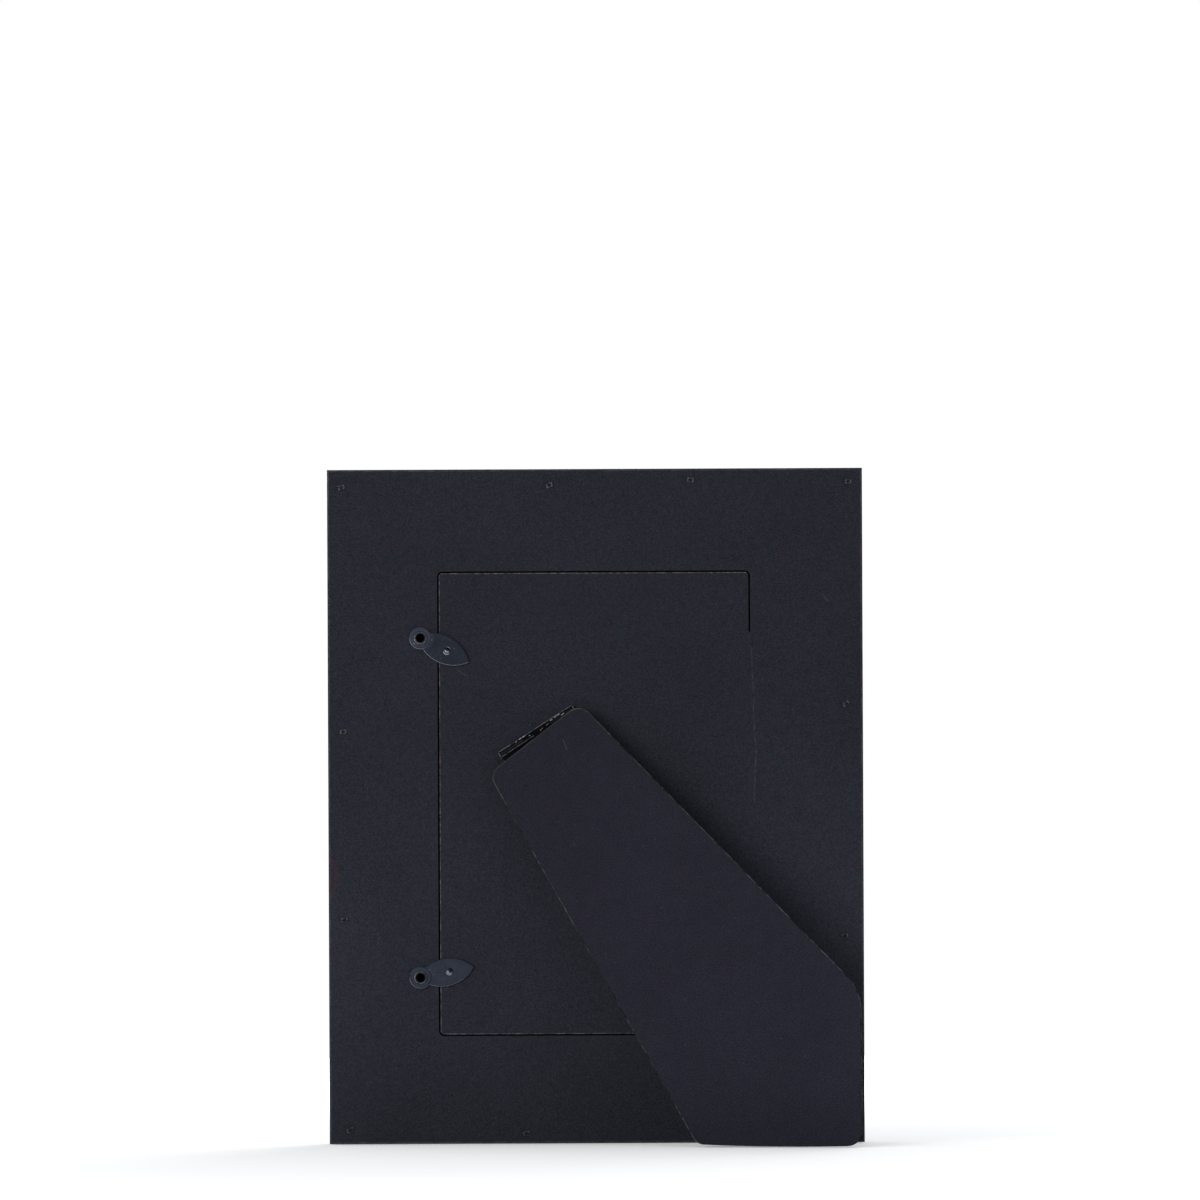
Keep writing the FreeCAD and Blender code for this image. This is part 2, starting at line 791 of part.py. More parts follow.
def build():
    """Every piece of the frame, by its name, still upright."""
    side_rabbet = rail_width - (outer_width - rabbet_opening_width) / 2
    end_rabbet = rail_width - (outer_height - rabbet_opening_height) / 2
    nails = corner_v_nails()
    rail_cuts = nails + brad_holes() + eyelet_pockets()
    glass_w = -board_thickness - rabbet_depth
    insert_w = glass_w + glass_thickness + insert_gap
    card_w = insert_w + insert_thickness
    glass_width = insert_width + 2 * glass_margin
    glass_height = insert_height + 2 * glass_margin
    upper, lower = pivot_places()
    pieces = {
        "bottom_rail": rail(outer_width, end_rabbet, 0, outer_height / 2).cut(rail_cuts),
        "left_rail": rail(outer_height, side_rabbet, 1, outer_width / 2).cut(rail_cuts),
        "top_rail": rail(outer_width, end_rabbet, 2, outer_height / 2).cut(rail_cuts),
        "right_rail": rail(outer_height, side_rabbet, 3, outer_width / 2).cut(rail_cuts),
        "corner_v_nails": Part.makeCompound(nails),
        "glass_pane": centred_pane(glass_width, glass_height, glass_w, glass_thickness),
        "paper_insert": centred_pane(insert_width, insert_height, insert_w, insert_thickness),
        "packing_card": centred_pane(glass_width, glass_height, card_w, card_thickness),
        "backing_board": backing_board(),
        "hatch_board": hatch_board(),
        "facing_sheet": facing_sheet(),
        "backing_brads": Part.makeCompound([brad(u, v, turn, True) for u, v, turn in brad_places()]),
        "upper_turn_button": turn_button(upper[0], upper[1], upper_button_turn),
        "lower_turn_button": turn_button(lower[0], lower[1], lower_button_turn),
        "turn_button_eyelets": Part.makeCompound([eyelet(u, v) for u, v in (upper, lower)]),
        "hatch_hinge_plate": hatch_hinge_plate(),
        "hatch_rivets": Part.makeCompound(hatch_rivets()),
        "hinge_pin": hinge_pin(),
        "leg_hinge_plate": open_leg(leg_hinge_plate()),
        "leg_rivets": open_leg(Part.makeCompound(leg_rivets())),
        "leg_board": open_leg(leg_board()),
        "leg_lining_sheet": open_leg(leg_lining()),
        "leg_facing_sheet": open_leg(leg_facing()),
    }
    return pieces


def stand_up(pieces):
    """Leans the frame back on its open leg and centres its footprint on the origin."""
    lean = standing_lean()
    for shape in pieces.values():
        shape.rotate(Vector(0, 0, 0), Vector(1, 0, 0), lean)
    box = Part.makeCompound(list(pieces.values())).optimalBoundingBox(False, False)
    depth_middle = (box.YMin + box.YMax) / 2
    for shape in pieces.values():
        shape.translate(Vector(0, -depth_middle, 0))
    return lean, depth_middle


frame_pieces = build()
frame_lean, frame_depth_middle = stand_up(frame_pieces)

os.makedirs("parts", exist_ok=True)
for node_name, node_shape in frame_pieces.items():
    node_shape.exportStep("parts/" + node_name + ".step")
print("lean %.3f degrees, depth middle %.3f mm" % (frame_lean, frame_depth_middle))
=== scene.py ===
"""The look of the easel back photo frame: its materials, light, floor and camera."""
import bpy
import math
from mathutils import Matrix, Vector
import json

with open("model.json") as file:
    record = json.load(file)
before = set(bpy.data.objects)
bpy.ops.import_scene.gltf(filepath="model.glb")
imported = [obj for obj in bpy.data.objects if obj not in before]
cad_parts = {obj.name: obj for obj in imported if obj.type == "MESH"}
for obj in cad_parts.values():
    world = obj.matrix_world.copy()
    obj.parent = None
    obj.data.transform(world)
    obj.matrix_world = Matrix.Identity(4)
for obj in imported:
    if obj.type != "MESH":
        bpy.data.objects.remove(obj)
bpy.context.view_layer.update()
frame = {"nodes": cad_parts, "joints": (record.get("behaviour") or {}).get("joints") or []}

MM = 0.001

# Camera, square on to the back panel: distances in millimetres, roll in degrees
CAMERA_DISTANCE = 900.0
CAMERA_RIGHT = 1.7
CAMERA_UP = 182.7
CAMERA_ROLL = 0.25
CAMERA_LENS = 80.25
CAMERA_SENSOR = 36.0

# Soft lights: place and target in metres, side in metres, power in watts
KEY_PLACE = (-0.76, -1.12, 0.22)
KEY_SIZE = 0.8
KEY_POWER = 17.0
FILL_PLACE = (0.5, 1.2, 1.1)
FILL_SIZE = 0.9
FILL_POWER = 8.0
LIGHT_TARGET = (0, 0, 0.1)
AMBIENT_COLOUR = (0.95, 0.97, 1.0, 1)
AMBIENT_STRENGTH = 0.66

# Floor: its side and its drop below the object, in metres
FLOOR_SIZE = 12.0
FLOOR_DROP = 0.0002
FLOOR_COLOUR = (0.93, 0.93, 0.93)

# The floor's glow near the object, and the distances in millimetres between which it grows to white
FLOOR_GLOW_NEAR = 0.22
FLOOR_NEAR = 200.0
FLOOR_FAR = 800.0

# Worn and cut places of the black paper, in millimetres on the panel; the pale bands along its cut and
# outer edges are partly painted highlight
CUT_EDGE_WIDTH = 0.22
CREASE_SHIFT = 1.2
CREASE_LENGTH = 62.0
CREASE_START = 24.0
STAIN_CENTRE = (-96.2, 90.1)
STAIN_RADIUS = 8.9
STAIN_WIDTH = 1.3
OUTER_EDGE_WIDTH = 0.5
PUCKER_RADIUS = 3.2

# How strongly each kind of mark shows on the paper
CUT_EDGE_STRENGTH = 0.28
OUTER_EDGE_STRENGTH = 0.10
CREASE_STRENGTH = 0.09
SCUFF_STRENGTH = 0.09
STAIN_STRENGTH = 0.5
LEG_SCRATCH_STRENGTH = 0.10
FIBRE_STRENGTH = 0.05
DUST_STRENGTH = 0.09

# The share by which the panel's paper is painted paler in each place, as painted light
LOW_PAINTED_LIGHT = 0.20
LOWER_RIGHT_PAINTED_LIGHT = 0.32
LOWER_LEFT_PAINTED_LIGHT = 0.10

# The leg paper's lightness at its hinge, far from it, at its foot and at its right side: painted shade at
# the hinge and foot, painted light far down and to the right
LEG_AT_HINGE = 0.94
LEG_FAR_DOWN = 1.12
LEG_AT_FOOT = 0.80
LEG_AT_RIGHT = 1.09

# Scratches: where each starts and ends, and its width, in millimetres on the panel or the leg
SCRATCH_BY_UPPER_BUTTON = ((-46.4, 159.6), (-44.4, 158.0), 0.3)
HOOK_OF_THAT_SCRATCH = ((-44.4, 158.0), (-43.4, 157.5), 0.4)
SCRATCH_BY_LOWER_BUTTON = ((-51.0, 51.6), (-49.6, 53.6), 0.3)
SCRATCH_AT_RIGHT_EDGE = ((76.4, 184.6), (78.4, 182.0), 0.35)
FRAYED_TOP_LEFT_CORNER = ((-89.8, 226.2), (-87.6, 226.6), 0.9)
SCRATCH_ON_LEG = ((6.2, 7.7), (5.5, 11.3), 0.35)
DENT_ON_LEG = ((-12.9, 13.8), (-12.5, 14.2), 0.9)

# Marks on the hinge: start, end and width, in millimetres along it and down from its upper line; the
# lower line and streaks are painted highlights, the fluff is brown fibre
HINGE_LOWER_HIGHLIGHT = ((-14.2, 1.95), (-1.6, 1.75), 0.3)
HINGE_HIGHLIGHT_STREAKS = (
    ((-7.9, 0.4), (-7.3, 0.2), 0.4), ((-6.4, 0.2), (-3.9, 0.2), 0.45), ((-2.8, 0.95), (-2.6, 1.0), 0.35),
    ((5.8, 0.5), (6.6, 0.5), 0.4), ((7.6, 0.4), (9.8, 0.3), 0.4), ((10.0, 1.0), (11.0, 0.9), 0.35),
)
HINGE_FLUFF = (((1.3, 1.5), (2.3, 1.25), 0.5), ((3.9, 1.15), (4.9, 1.0), 0.45))

# Up to this place along a board its edge is always rubbed: the leg's hinged end, and none of the panel
PANEL_RUBBED_END = -9.0
LEG_RUBBED_END = 9.0

# Pressed and rolled metal, in millimetres from each button's pivot
RING_RADIUS = 3.8
DIMPLE_PLACE = 9.9
DIMPLE_RADIUS = 1.3
EYELET_BORE = 1.36
EYELET_CREST = 2.0

# Colours
PANEL_WARM = (0.0152, 0.0126, 0.0190, 1)
PANEL_COOL = (0.0104, 0.0142, 0.0182, 1)
LEG_WARM = (0.0140, 0.0114, 0.0190, 1)
LEG_COOL = (0.0100, 0.0122, 0.0172, 1)
# Pale pulp, also the colour of the painted highlights along the paper's cut and outer edges
PULP_AND_EDGE_HIGHLIGHT = (0.29, 0.29, 0.30, 1)
STAIN_RED = (0.040, 0.015, 0.017, 1)
BOARD_DARK = (0.005, 0.005, 0.006, 1)
BOARD_LIGHT = (0.010, 0.009, 0.010, 1)
BOARD_RUBBED = (0.074, 0.073, 0.075, 1)
# Painted highlight on the metal: bevels, dimples, eyelet crests and hinge
HIGHLIGHT_STEEL = (0.25, 0.26, 0.29, 1)
# Painted shade in the dimples and the eyelets' bores
SHADE_BLACK = (0.002, 0.002, 0.003, 1)
RUST = (0.048, 0.016, 0.010, 1)
CARD_LIGHT = (0.012, 0.012, 0.012, 1)
CARD_DARK = (0.007, 0.007, 0.007, 1)
UPPER_LACQUER_DARK = (0.0060, 0.0084, 0.0134, 1)
UPPER_LACQUER_LIGHT = (0.0095, 0.0124, 0.0190, 1)
LOWER_LACQUER_DARK = (0.0155, 0.0190, 0.0290, 1)
LOWER_LACQUER_LIGHT = (0.0215, 0.0260, 0.0385, 1)
LACQUER_HAIRLINE = (0.16, 0.18, 0.21, 1)
LACQUER_CHIP = (0.35, 0.36, 0.38, 1)
# Painted shade on the buttons' bevels
BEVEL_SHADE = (0.010, 0.012, 0.016, 1)
EYELET_LACQUER = (0.012, 0.014, 0.019, 1)
BRAD_DARK = (0.004, 0.004, 0.005, 1)
BRAD_LIGHT = (0.013, 0.013, 0.015, 1)
# Painted highlight round the nail heads
BRAD_RIM_HIGHLIGHT = (0.055, 0.055, 0.060, 1)
RIVET_DULL = (0.16, 0.16, 0.17, 1)
RIVET_BRIGHT = (0.34, 0.34, 0.35, 1)
NAIL_DULL = (0.10, 0.10, 0.10, 1)
NAIL_BRIGHT = (0.30, 0.29, 0.28, 1)
ENAMEL_BLACK = (0.003, 0.003, 0.004, 1)
FLUFF_BROWN = (0.13, 0.10, 0.07, 1)
WOOD_DARK = (0.026, 0.0125, 0.0078, 1)
WOOD_LIGHT = (0.105, 0.048, 0.025, 1)
GLASS_TINT = (0.985, 0.995, 0.99, 1)
INSERT_DARK = (0.78, 0.765, 0.72, 1)
INSERT_LIGHT = (0.84, 0.83, 0.79, 1)

joints = {joint["name"]: joint for joint in frame["joints"]}
nodes = frame["nodes"]


# Places on the frame, read from the CAD

def millimetres_along(origin, right, up, out):
    """The matrix from the row frame to millimetres along three axes from an origin."""
    turn = Matrix((right, up, out)).to_4x4()
    return Matrix.Scale(1 / MM, 4) @ turn @ Matrix.Translation(-origin)


def panel_matrix():
    """To the back panel's own millimetres: right, up, and out of the back, from its lower edge."""
    out = Vector(joints["upper_button_pivot"]["axis"]).normalized()
    right = Vector((1, 0, 0))
    up = out.cross(right)
    corner = min((vertex.co for vertex in nodes["backing_board"].data.vertices), key=lambda co: co.z)
    return millimetres_along(Vector((0, corner.y, corner.z)), right, up, out)


def leg_matrix():
    """To the open leg's own millimetres: along the hinge, towards the foot, and out of the leg."""
    hinge = joints["leg_hinge"]
    along = -Vector(hinge["axis"]).normalized()
    panel_out = Vector(joints["upper_button_pivot"]["axis"]).normalized()
    opening = math.radians(min(hinge["range_deg"]))
    out = Matrix.Rotation(opening, 3, along) @ panel_out
    down = along.cross(out)
    return millimetres_along(Vector(hinge["pos_m"]), along, down, out)


def hinge_matrix():
    """To the hatch plate's own millimetres: along the hinge, towards the foot, and out of the panel."""
    hinge = joints["leg_hinge"]
    along = -Vector(hinge["axis"]).normalized()
    out = Vector(joints["upper_button_pivot"]["axis"]).normalized()
    return millimetres_along(Vector(hinge["pos_m"]), along, along.cross(out), out)


def span(name, matrix):
    """The lowest and highest corner of a CAD piece, seen along a matrix's axes."""
    points = [matrix @ vertex.co for vertex in nodes[name].data.vertices]
    low = Vector([min(point[axis] for point in points) for axis in range(3)])
    high = Vector([max(point[axis] for point in points) for axis in range(3)])
    return low, high


def middle_of(name, matrix):
    """The middle of a piece's extent, in the plane of the panel."""
    low, high = span(name, matrix)
    return ((low + high) / 2).to_2d()


def clusters(name, matrix, reach):
    """The middles of a piece's separate solids, each smaller than the reach."""
    groups = []
    for vertex in nodes[name].data.vertices:
        point = (matrix @ vertex.co).to_2d()
        near = [group for group in groups if (group[0] - point).length < reach]
        if near:
            near[0].append(point)
        else:
            groups.append([point])
    return [sum(group, Vector((0, 0))) / len(group) for group in groups]


PANEL = panel_matrix()
LEG = leg_matrix()
HINGE = hinge_matrix()
HATCH_LOW, HATCH_HIGH = span("hatch_board", PANEL)
SHEET_LOW, SHEET_HIGH = span("facing_sheet", PANEL)
UPPER_PIVOT = PANEL @ Vector(joints["upper_button_pivot"]["pos_m"])
LOWER_PIVOT = PANEL @ Vector(joints["lower_button_pivot"]["pos_m"])
PANEL_OUT = Vector(joints["upper_button_pivot"]["axis"]).normalized()
PANEL_UP = PANEL_OUT.cross(Vector((1, 0, 0)))
LEG_OUT = LEG.inverted().to_3x3().col[2].normalized()
# The way towards the light, down and a little left, for the painted highlights and shade on the metal
PAINTED_LIGHT_WAY = (Vector((-0.3, 0, 0)) - 0.95 * PANEL_UP).normalized()
KNUCKLE_TOP = span("hatch_hinge_plate", HINGE)[0].y
HINGE_END = span("hinge_pin", HINGE)[1].x
BRAD_PLACES = clusters("backing_brads", PANEL, PUCKER_RADIUS)


# Shader building

def plug(tree, value, socket):
    """Links a socket, or sets a plain value."""
    if isinstance(value, bpy.types.NodeSocket):
        tree.links.new(value, socket)
    elif value is not None:
        socket.default_value = value


def add(tree, kind, values=(), **settings):
    """Adds a node, sets its properties, and plugs values into its inputs in order."""
    made = tree.nodes.new(kind)
    for key, value in settings.items():
        setattr(made, key, value)
    for index, value in enumerate(values):
        plug(tree, value, made.inputs[index])
    return made


def calc(tree, operation, *values, clamp=False):
    """One arithmetic step."""
    return add(tree, "ShaderNodeMath", values, operation=operation, use_clamp=clamp).outputs[0]


def vector_calc(tree, operation, *values, result=0):
    """One vector step: its vector result is 0 and its value result is 1."""
    return add(tree, "ShaderNodeVectorMath", values, operation=operation).outputs[result]


def ramp(tree, value, low, high, start=0.0, end=1.0):
    """Start below low, end above high, and a smooth step between them."""
    values = (value, low, high, start, end)
    return add(tree, "ShaderNodeMapRange", values, interpolation_type="SMOOTHSTEP").outputs[0]


def blend_colours(tree, factor, first, second):
    """The first colour where the factor is zero, and the second where it is one."""
    made = add(tree, "ShaderNodeMix", data_type="RGBA")
    plug(tree, factor, made.inputs[0])
    plug(tree, first, made.inputs[6])
    plug(tree, second, made.inputs[7])
    return made.outputs[2]


def same_thrice(tree, value):
    """A vector with one value along each axis."""
    return add(tree, "ShaderNodeCombineXYZ", (value, value, value)).outputs[0]


def shade(tree, colour, factor):
    """Scales a colour."""
    return vector_calc(tree, "MULTIPLY", colour, same_thrice(tree, factor))


def noise(tree, vector, size, detail=2.0, roughness=0.5, distortion=0.0):
    """Noise around one half, with features of about that size."""
    made = add(tree, "ShaderNodeTexNoise")
    plug(tree, vector, made.inputs["Vector"])
    made.inputs["Scale"].default_value = 1 / size
    made.inputs["Detail"].default_value = detail
    made.inputs["Roughness"].default_value = roughness
    made.inputs["Distortion"].default_value = distortion
    return made.outputs["Fac"]


def placed(tree, matrix):
    """Object coordinates in a piece's own millimetres."""
    coordinates = add(tree, "ShaderNodeTexCoord").outputs["Object"]
    made = add(tree, "ShaderNodeMapping", (coordinates,), vector_type="POINT")
    location, rotation, scale = matrix.decompose()
    made.inputs["Location"].default_value = location
    made.inputs["Rotation"].default_value = rotation.to_euler()
    made.inputs["Scale"].default_value = scale
    return made.outputs[0]


def stretched(tree, vector, degrees, scale):
    """Turns a pattern in the panel's plane and scales it along each axis."""
    turned = add(tree, "ShaderNodeMapping", (vector,), vector_type="POINT")
    turned.inputs["Rotation"].default_value = (0, 0, math.radians(degrees))
    made = add(tree, "ShaderNodeMapping", (turned.outputs[0],), vector_type="POINT")
    made.inputs["Scale"].default_value = scale
    return made.outputs[0]


def facing(tree, direction):
    """How squarely the piece's own surface faces a direction: one when square on."""
    normal = add(tree, "ShaderNodeTexCoord").outputs["Normal"]
    return vector_calc(tree, "DOT_PRODUCT", normal, direction, result=1)


def flat_distance(tree, vector, place):
    """Distance in the panel's plane from a point."""
    across = vector_calc(tree, "MULTIPLY", vector, (1, 1, 0))
    return vector_calc(tree, "DISTANCE", across, (place[0], place[1], 0), result=1)


def nearest(tree, vector, places):
    """Distance in the panel's plane from the nearest of several points."""
    distance = flat_distance(tree, vector, places[0])
    for place in places[1:]:
        distance = calc(tree, "MINIMUM", distance, flat_distance(tree, vector, place))
    return distance


def stroke(tree, vector, start, end, width):
    """A soft line between two places: one in its middle and zero outside."""
    first = Vector((start[0], start[1], 0))
    run = Vector((end[0] - start[0], end[1] - start[1], 0))
    from_first = vector_calc(tree, "SUBTRACT", vector_calc(tree, "MULTIPLY", vector, (1, 1, 0)), first)
    projected = vector_calc(tree, "DOT_PRODUCT", from_first, run, result=1)
    share = calc(tree, "DIVIDE", projected, run.length_squared, clamp=True)
    along = vector_calc(tree, "MULTIPLY", same_thrice(tree, share), run)
    return ramp(tree, vector_calc(tree, "DISTANCE", from_first, along, result=1), 0, width / 2, 1, 0)


def specks(tree, vector, spacing, radius, share, seed=0.0):
    """Small round dots on a share of the cells of a random pattern."""
    moved = vector_calc(tree, "ADD", vector, (seed, seed, seed))
    made = add(tree, "ShaderNodeTexVoronoi", voronoi_dimensions="2D")
    plug(tree, moved, made.inputs["Vector"])
    made.inputs["Scale"].default_value = 1 / spacing
    dot = ramp(tree, made.outputs["Distance"], 0.4 * radius / spacing, radius / spacing, 1, 0)
    pick = add(tree, "ShaderNodeSeparateXYZ", (made.outputs["Color"],)).outputs
    chosen = calc(tree, "LESS_THAN", pick[0], share)
    return times(tree, dot, chosen, pick[1])


def either(tree, *masks):
    """The strongest of several masks."""
    strongest = masks[0]
    for mask in masks[1:]:
        strongest = calc(tree, "MAXIMUM", strongest, mask)
    return strongest


def times(tree, *values):
    """The product of several values."""
    product = values[0]
    for value in values[1:]:
        product = calc(tree, "MULTIPLY", product, value)
    return product


def parts_of(tree, vector):
    """The three components of a vector."""
    return add(tree, "ShaderNodeSeparateXYZ", (vector,)).outputs


def new_material(name):
    """An empty material and its node tree."""
    material = bpy.data.materials.new(name)
    material.use_nodes = True
    tree = material.node_tree
    tree.nodes.clear()
    return material, tree


def finish_material(tree, colour, roughness, height=None, bump=0.1, **settings):
    """Puts a Principled shader at the end of a material's tree."""
    shader = tree.nodes.new("ShaderNodeBsdfPrincipled")
    plug(tree, colour, shader.inputs["Base Color"])
    plug(tree, roughness, shader.inputs["Roughness"])
    for key, value in settings.items():
        plug(tree, value, shader.inputs[key.replace("_", " ")])
    if height is not None:
        bumped = add(tree, "ShaderNodeBump")
        bumped.inputs["Strength"].default_value = bump
        bumped.inputs["Distance"].default_value = MM
        plug(tree, height, bumped.inputs["Height"])
        plug(tree, bumped.outputs[0], shader.inputs["Normal"])
    output = tree.nodes.new("ShaderNodeOutputMaterial")
    tree.links.new(shader.outputs[0], output.inputs["Surface"])


# Black paper

def paper_base(tree, vector, warm, cool):
    """The mottled tint, the lint and the bump that all the black paper shares."""
    tint = blend_colours(tree, ramp(tree, noise(tree, vector, 0.8, 3.0, 0.7), 0.38, 0.62), warm, cool)
    grain = ramp(tree, noise(tree, vector, 0.45, 3.0, 0.8), 0.3, 0.7, 0.56, 1.44)
    cloud = ramp(tree, noise(tree, vector, 42.0, 2.0), 0.3, 0.7, 0.95, 1.05)
    colour = shade(tree, tint, calc(tree, "MULTIPLY", grain, cloud))
    fibres = []
    for degrees, seed in ((15, 3.1), (62, 41.7), (118, 87.3), (160, 140.9)):
        drawn_out = stretched(tree, vector, degrees, (1.0, 0.16, 1.0))
        fibres.append(specks(tree, drawn_out, 7.0, radius=0.15, share=0.2, seed=seed))
    fibre = calc(tree, "MULTIPLY", either(tree, *fibres), FIBRE_STRENGTH)
    flecks = specks(tree, vector, 4.5, radius=0.2, share=0.4, seed=19.0)
    lint = either(tree, fibre, calc(tree, "MULTIPLY", flecks, DUST_STRENGTH))
    tooth = calc(tree, "MULTIPLY", noise(tree, vector, 0.7, 4.0, 0.65), 0.16)
    waves = calc(tree, "MULTIPLY", noise(tree, vector, 14.0, 2.0), 0.5)
    return colour, lint, calc(tree, "ADD", tooth, waves)


def cut_edge_wear_and_highlight(tree, vector):
    """The pale line where the hatch's paper was cut: left, top and bottom, broken here and there; partly
    the pale cut paper, partly a painted highlight on the cut edge.
    """
    u, v, _ = parts_of(tree, vector)
    from_left = calc(tree, "SUBTRACT", u, HATCH_LOW.x)
    from_top = calc(tree, "SUBTRACT", HATCH_HIGH.y, v)
    from_bottom = calc(tree, "SUBTRACT", v, HATCH_LOW.y)
    inside = calc(tree, "MINIMUM", calc(tree, "MINIMUM", from_top, from_bottom), from_left)
    edge = ramp(tree, inside, CUT_EDGE_WIDTH, CUT_EDGE_WIDTH + 0.1, 1, 0)
    on_hatch = calc(tree, "GREATER_THAN", inside, -0.05)
    short_of_right = calc(tree, "LESS_THAN", u, HATCH_HIGH.x - 0.3)
    ragged = ramp(tree, noise(tree, vector, 2.4, 4.0, 0.75), 0.40, 0.66, 0.1, 1.0)
    return times(tree, edge, on_hatch, short_of_right, ragged)


def outer_edge_wear_and_highlight(tree, vector):
    """The pale line along the facing sheet's outer edges, broken here and there: partly the paper's own
    pale edge, partly a painted edge highlight.
    """
    u, v, _ = parts_of(tree, vector)
    from_side = calc(tree, "SUBTRACT", SHEET_HIGH.x, calc(tree, "ABSOLUTE", u))
    from_top = calc(tree, "SUBTRACT", SHEET_HIGH.y, v)
    from_bottom = calc(tree, "SUBTRACT", v, SHEET_LOW.y)
    from_end = calc(tree, "MINIMUM", from_top, from_bottom)
    inside = calc(tree, "MINIMUM", from_side, from_end)
    edge = ramp(tree, inside, 0.4 * OUTER_EDGE_WIDTH, OUTER_EDGE_WIDTH, 1, 0)
    ragged = ramp(tree, noise(tree, vector, 3.5, 4.0, 0.7), 0.36, 0.66, 0.2, 1.0)
    return calc(tree, "MULTIPLY", edge, ragged)


def crease(tree, vector):
    """The faint wavy line where the paper folds along the hatch's right side."""
    u, v, _ = parts_of(tree, vector)
    along = add(tree, "ShaderNodeCombineXYZ", (0.0, v, 0.0)).outputs[0]
    wave = calc(tree, "MULTIPLY", calc(tree, "SUBTRACT", noise(tree, along, 14.0, 2.0), 0.5), 3.0)
    top = HATCH_HIGH.y - CREASE_START
    lean = calc(tree, "MULTIPLY", calc(tree, "SUBTRACT", top, v), 0.02)
    middle = calc(tree, "ADD", calc(tree, "ADD", wave, lean), HATCH_HIGH.x + CREASE_SHIFT)
    across = calc(tree, "ABSOLUTE", calc(tree, "SUBTRACT", u, middle))
    line = ramp(tree, across, 0.05, 0.3, 1, 0)
    below = ramp(tree, v, top, top - 4)
    above = ramp(tree, v, top - CREASE_LENGTH, top - 0.8 * CREASE_LENGTH)
    broken = ramp(tree, noise(tree, along, 2.2, 3.0), 0.35, 0.7)
    return times(tree, line, broken, below, above)


def stain(tree, vector):
    """The reddish-brown arc at the left edge."""
    from_centre = flat_distance(tree, vector, STAIN_CENTRE)
    ring = calc(tree, "ABSOLUTE", calc(tree, "SUBTRACT", from_centre, STAIN_RADIUS))
    patchy = ramp(tree, noise(tree, vector, 1.6, 3.0), 0.3, 0.6, 0.5, 1.0)
    return calc(tree, "MULTIPLY", ramp(tree, ring, 0.3 * STAIN_WIDTH, 0.7 * STAIN_WIDTH, 1, 0), patchy)


def scuffs(tree, vector):
    """Short light scratches on the panel, near the turn buttons and along the frame's edge."""
    places = (
        SCRATCH_BY_UPPER_BUTTON, HOOK_OF_THAT_SCRATCH, SCRATCH_BY_LOWER_BUTTON, SCRATCH_AT_RIGHT_EDGE,
        FRAYED_TOP_LEFT_CORNER,
    )
    return either(tree, *[stroke(tree, vector, *place) for place in places])


def panel_painted_light(tree, vector):
    """Painted light on the panel's paper: it is painted paler low down and to the right, and less so at
    its foot.
    """
    right, up, _ = parts_of(tree, vector)
    low = times(tree, ramp(tree, up, 145, 65), ramp(tree, up, 4, 48), LOW_PAINTED_LIGHT)
    lower_right = times(tree, ramp(tree, right, 5, 85), ramp(tree, up, 165, 75), LOWER_RIGHT_PAINTED_LIGHT)
    lower_left = times(tree, ramp(tree, right, -66, -88), ramp(tree, up, 140, 60), LOWER_LEFT_PAINTED_LIGHT)
    added = calc(tree, "ADD", low, calc(tree, "ADD", lower_right, lower_left))
    return calc(tree, "ADD", 1.0, added)


def leg_painted_light(tree):
    """Painted light and shade on the leg's paper: paler towards its right side and far from its hinge,
    darker at its hinge and foot.
    """
    _, down, _ = parts_of(tree, placed(tree, LEG))
    right, up, _ = parts_of(tree, placed(tree, PANEL))
    from_hinge = ramp(tree, down, 5, 115, LEG_AT_HINGE, LEG_FAR_DOWN)
    from_foot = ramp(tree, up, 2, 30, LEG_AT_FOOT, 1.0)
    to_right = ramp(tree, right, 62, 85, 1.0, LEG_AT_RIGHT)
    return times(tree, from_hinge, from_foot, to_right)


def panel_paper():
    """The black paper over the backing board and the hatch, with all its marks."""
    material, tree = new_material("panel_paper")
    vector = placed(tree, PANEL)
    colour, lint, height = paper_base(tree, vector, PANEL_WARM, PANEL_COOL)
    # Painted light: paler low down and to the right, less so at the foot
    colour = shade(tree, colour, panel_painted_light(tree, vector))
    # The pale band at the hatch's cut edge: partly the pale cut paper, partly painted highlight
    cut_wear_and_highlight = calc(tree, "MULTIPLY", cut_edge_wear_and_highlight(tree, vector), CUT_EDGE_STRENGTH)
    # The pale band along the outer edges: partly the paper's own pale edge, partly painted highlight
    rim = calc(tree, "MULTIPLY", outer_edge_wear_and_highlight(tree, vector), OUTER_EDGE_STRENGTH)
    fold = calc(tree, "MULTIPLY", crease(tree, vector), CREASE_STRENGTH)
    marks = calc(tree, "MULTIPLY", scuffs(tree, vector), SCUFF_STRENGTH)
    stained = calc(tree, "MULTIPLY", stain(tree, vector), STAIN_STRENGTH)
    colour = blend_colours(tree, stained, colour, STAIN_RED)
    colour = blend_colours(tree, either(tree, cut_wear_and_highlight, rim, fold, marks, lint), colour, PULP_AND_EDGE_HIGHLIGHT)
    from_brad = nearest(tree, vector, BRAD_PLACES)
    height = calc(tree, "SUBTRACT", height, ramp(tree, from_brad, 0.6, PUCKER_RADIUS, 0.8, 0.0))
    roughness = ramp(tree, noise(tree, vector, 3.0, 3.0), 0.3, 0.7, 0.84, 0.95)
    finish_material(tree, colour, roughness, height, 0.35, Specular_IOR_Level=0.08)
    return material


